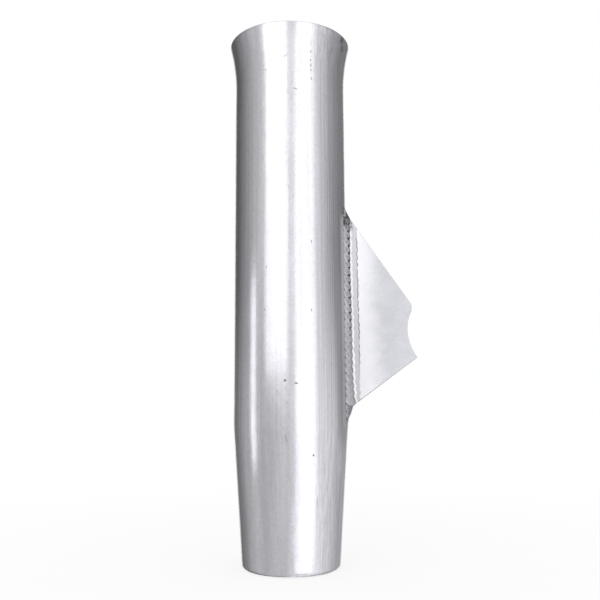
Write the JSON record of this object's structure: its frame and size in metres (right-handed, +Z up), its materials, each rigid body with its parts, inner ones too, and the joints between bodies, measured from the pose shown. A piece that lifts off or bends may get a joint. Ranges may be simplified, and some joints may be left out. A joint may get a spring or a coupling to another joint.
{
  "type": "rod holder",
  "caption": "Weld-on fishing rod holder: a flared, open tube with a tapered foot and a gusset plate notched to sit on a round rail.",
  "frame": {"origin": "centre of the flat ring at the tube's foot, on the tube's axis", "axes": "+Z up along the tube's axis towards the flared mouth, +X out along the gusset plate towards the rail, +Y square to the plate"},
  "size_m": [0.0801, 0.0532, 0.226],
  "materials": {
    "tube_aluminium": "bare drawn tube, polished along its length",
    "plate_aluminium": "bare mill-finish sheet, matte",
    "weld_aluminium": "as welded, rippled and semi-bright"
  },
  "bodies": {
    "root": {"flared_tube": "tube_aluminium", "gusset_plate": "plate_aluminium", "front_fillet_weld": "weld_aluminium", "rear_fillet_weld": "weld_aluminium", "upper_end_weld": "weld_aluminium", "lower_end_weld": "weld_aluminium"}
  },
  "joints": []
}
